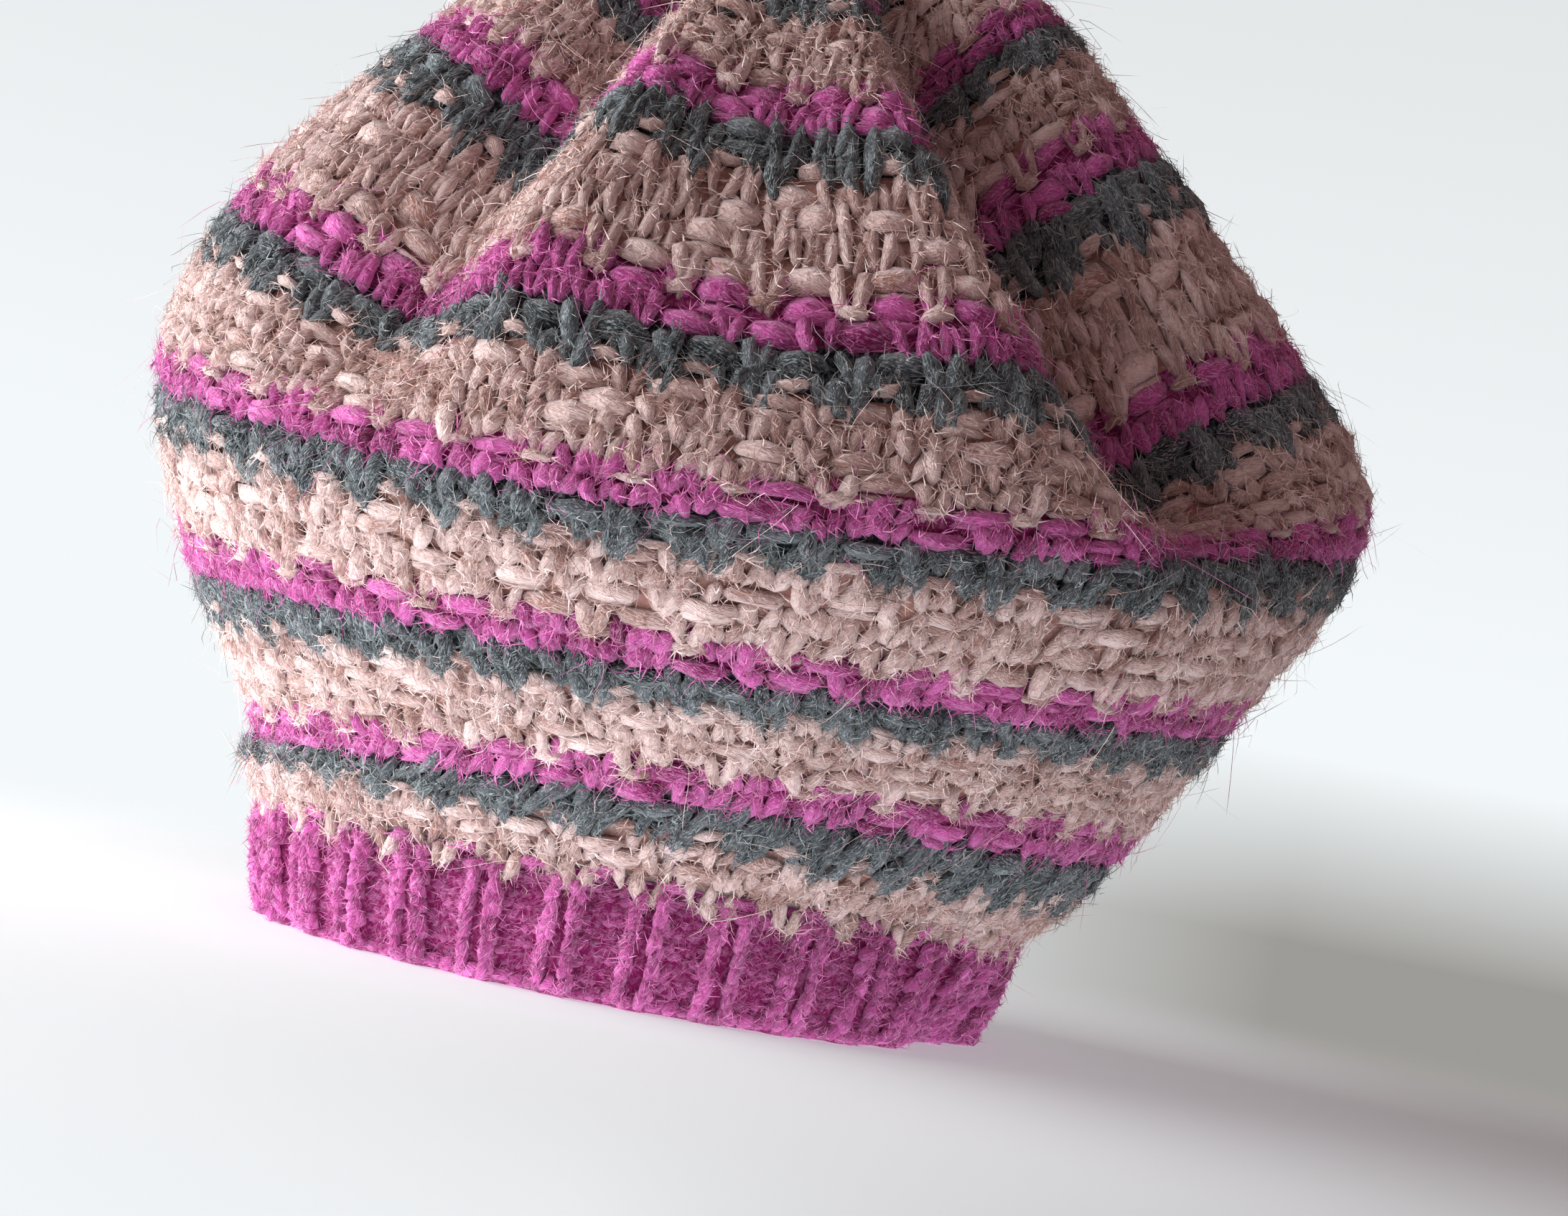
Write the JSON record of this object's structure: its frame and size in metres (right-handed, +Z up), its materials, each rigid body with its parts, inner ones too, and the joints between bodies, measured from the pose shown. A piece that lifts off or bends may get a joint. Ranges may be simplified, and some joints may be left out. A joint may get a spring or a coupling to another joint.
{
  "type": "tam o shanter",
  "caption": "Hand-knitted slouching tam with a ribbed rim band and a striped, gathered crown, creased right of the front.",
  "frame": {"origin": "on the surface that the rim stands on, under the middle of the hat's outline from above", "axes": "+Z up through the rim, -Y the front of the hat, +X its right side as seen from the front"},
  "size_m": [0.2308, 0.2284, 0.2216],
  "materials": {
    "magenta_wool": "fuzzy hand-knitted wool, ribbed",
    "striped_wool": "fuzzy hand-knitted wool, beige pink with paired magenta and charcoal stripes"
  },
  "bodies": {
    "root": {"ribbed_band": "magenta_wool", "crown": "striped_wool"}
  },
  "joints": []
}
